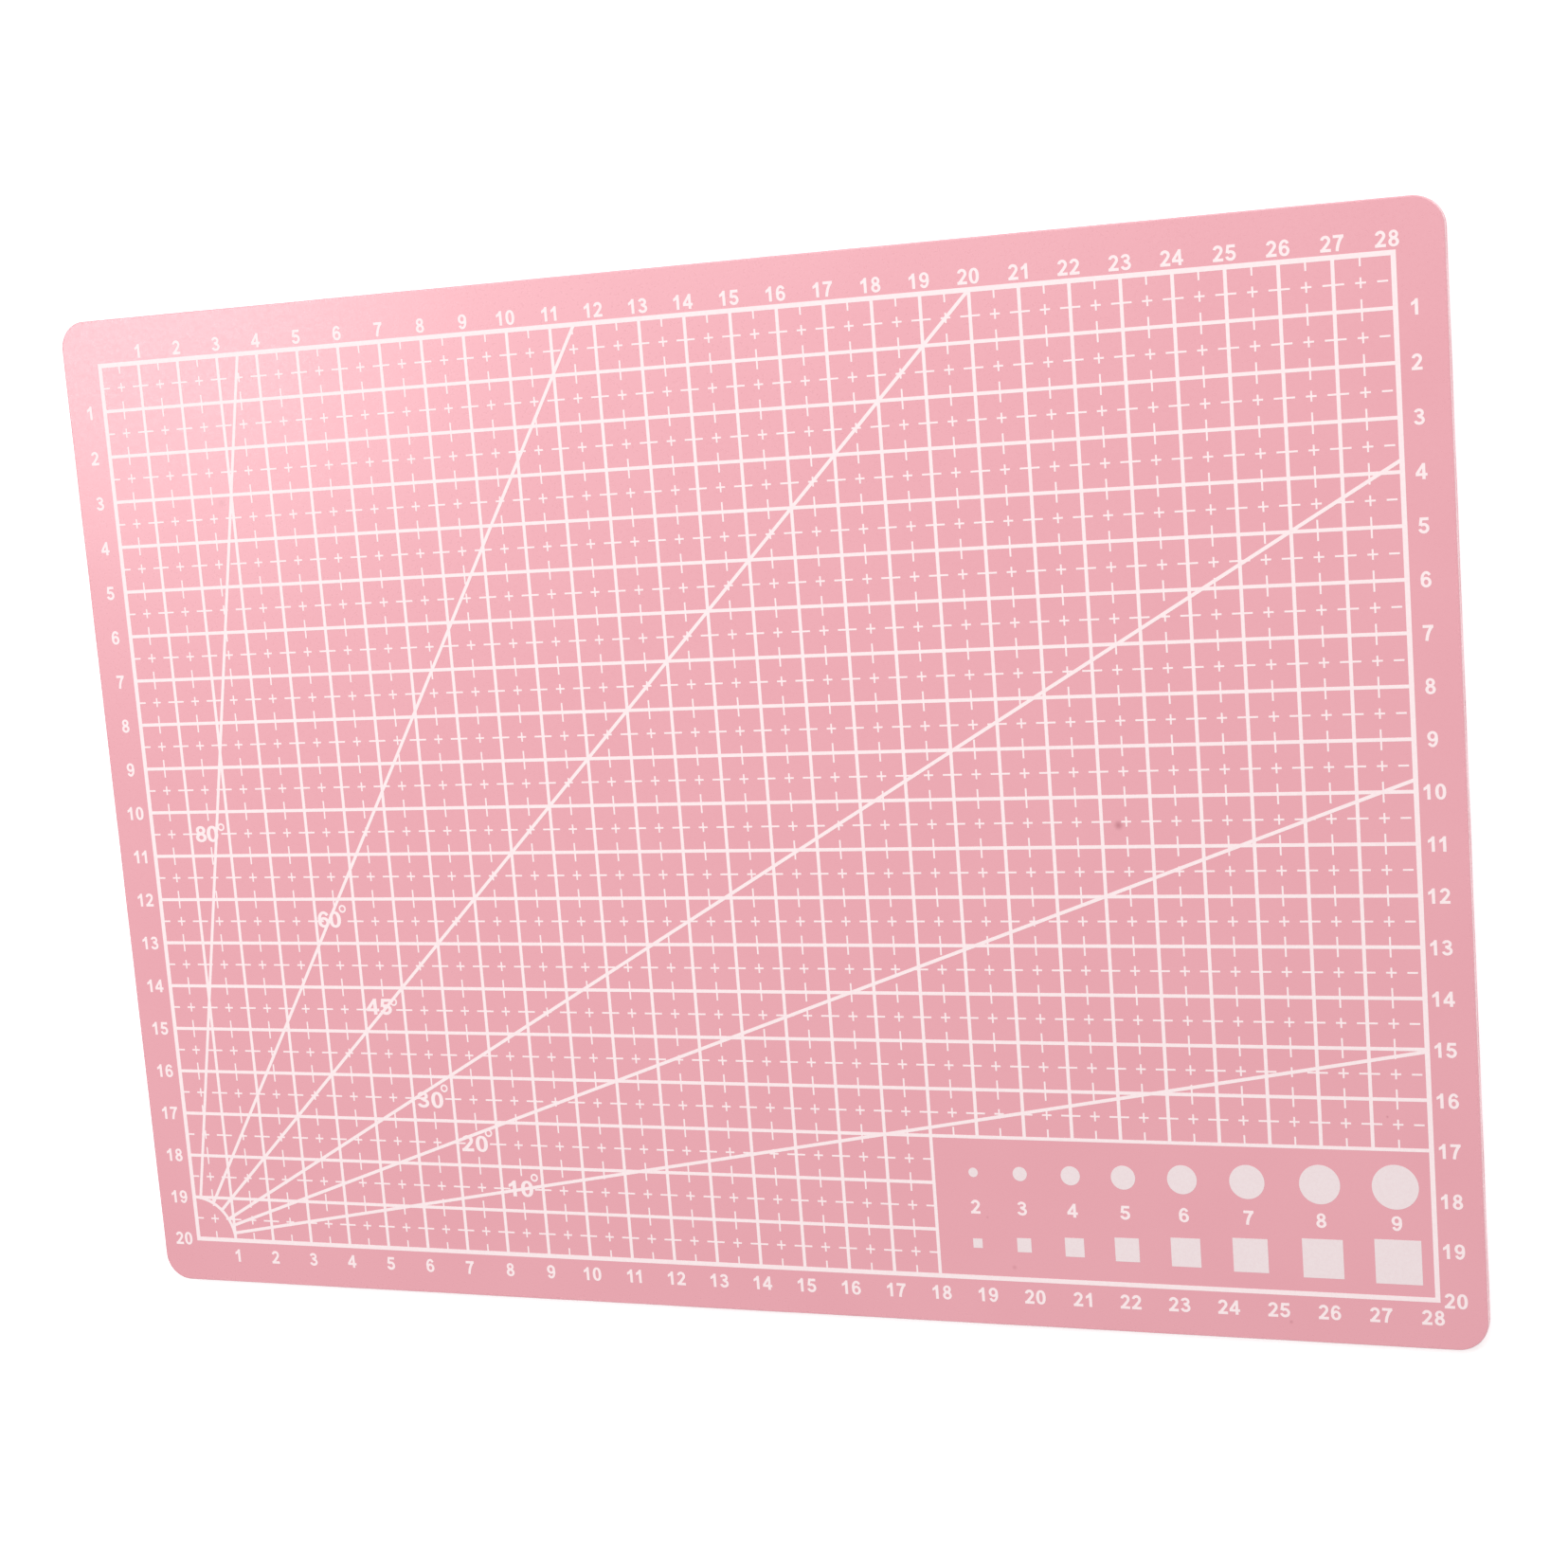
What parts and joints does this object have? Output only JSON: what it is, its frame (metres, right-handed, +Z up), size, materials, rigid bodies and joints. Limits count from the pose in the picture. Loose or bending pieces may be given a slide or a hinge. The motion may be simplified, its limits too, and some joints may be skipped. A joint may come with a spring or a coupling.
{
  "type": "cutting mat",
  "caption": "Flat rectangular self-healing cutting mat with rounded corners, printed on its upper face with a centimetre grid, an angle guide and size gauges.",
  "frame": {"origin": "centre of the mat's underside", "axes": "+X along the long side, the way the column numbers grow; +Y towards the side where the row numbers start; +Z up, out of the printed face"},
  "size_m": [0.3, 0.22, 0.0031],
  "materials": {
    "pink_pvc": "matt with a fine pebble grain",
    "core_pvc": "matt, seen only as the middle band of the cut edge",
    "white_ink": "thin matt screen-print ink, slightly pink where the skin shows through"
  },
  "bodies": {
    "root": {"top_skin": "pink_pvc", "core_sheet": "core_pvc", "bottom_skin": "pink_pvc", "column_lines": "white_ink", "row_lines": "white_ink", "angle_guide": "white_ink", "disc_2mm": "white_ink", "disc_3mm": "white_ink", "disc_4mm": "white_ink", "disc_5mm": "white_ink", "disc_6mm": "white_ink", "disc_7mm": "white_ink", "disc_8mm": "white_ink", "disc_9mm": "white_ink", "square_2mm": "white_ink", "square_3mm": "white_ink", "square_4mm": "white_ink", "square_5mm": "white_ink", "square_6mm": "white_ink", "square_7mm": "white_ink", "square_8mm": "white_ink", "square_9mm": "white_ink"}
  },
  "joints": []
}
